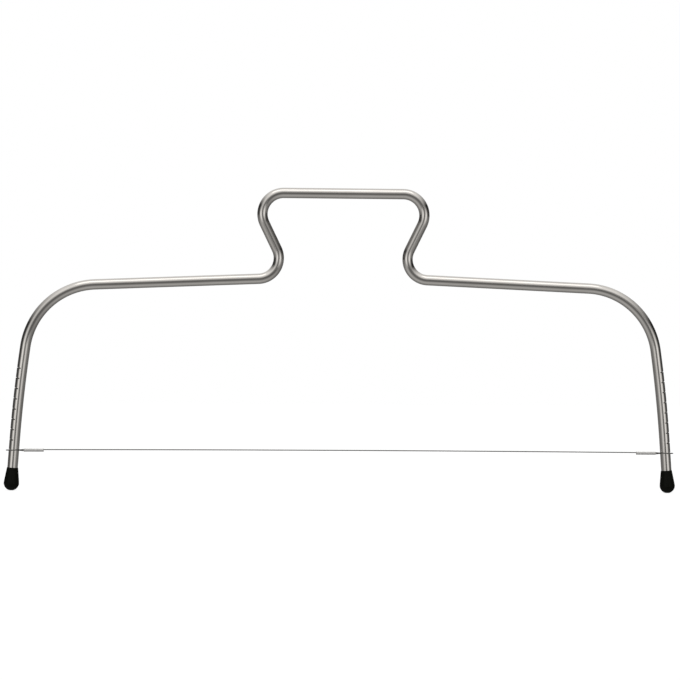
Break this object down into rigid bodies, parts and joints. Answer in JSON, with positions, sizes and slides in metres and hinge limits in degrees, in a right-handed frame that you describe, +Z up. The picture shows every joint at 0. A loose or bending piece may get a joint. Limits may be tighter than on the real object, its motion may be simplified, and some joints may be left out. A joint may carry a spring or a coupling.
{
  "type": "cake leveler",
  "caption": "Wire cake leveler: a bent steel rod with a handle and two notched legs on soft tips, and a thin cutting wire that hooks between the legs at a chosen height.",
  "frame": {"origin": "on the table, halfway between the two tips it stands on", "axes": "+X to the right along the cutting wire, +Y to the back, +Z up the handle"},
  "size_m": [0.329, 0.0074, 0.1485],
  "materials": {
    "rod_steel": "bright drawn stainless rod with faint lines along it",
    "wire_steel": "bright hard-drawn wire",
    "sleeve_steel": "pale satin, crimped",
    "soft_black": "black soft plastic with a low sheen"
  },
  "bodies": {
    "frame": {"frame_rod": "rod_steel", "left_foot_tip": "soft_black", "right_foot_tip": "soft_black"},
    "wire": {"cutting_wire": "wire_steel"},
    "left_wire_end": {"left_wire_loop": "wire_steel", "left_crimp_sleeve": "sleeve_steel"},
    "right_wire_end": {"right_wire_loop": "wire_steel", "right_crimp_sleeve": "sleeve_steel"}
  },
  "joints": [
    {"name": "wire_height", "type": "slide", "parent": "frame", "child": "wire", "axis": [0, 0, 1], "range_m": [0, 0.0398]},
    {"name": "left_end_on_leg", "type": "slide", "parent": "frame", "child": "left_wire_end", "axis": [0.0939, 0, 0.9956], "range_m": [0, 0.04]},
    {"name": "right_end_on_leg", "type": "slide", "parent": "frame", "child": "right_wire_end", "axis": [-0.0939, 0, 0.9956], "range_m": [0, 0.04]}
  ],
  "couplings": [
    {"joint": "left_end_on_leg", "follows": "wire_height", "ratio": 1.0044},
    {"joint": "right_end_on_leg", "follows": "wire_height", "ratio": 1.0044}
  ]
}
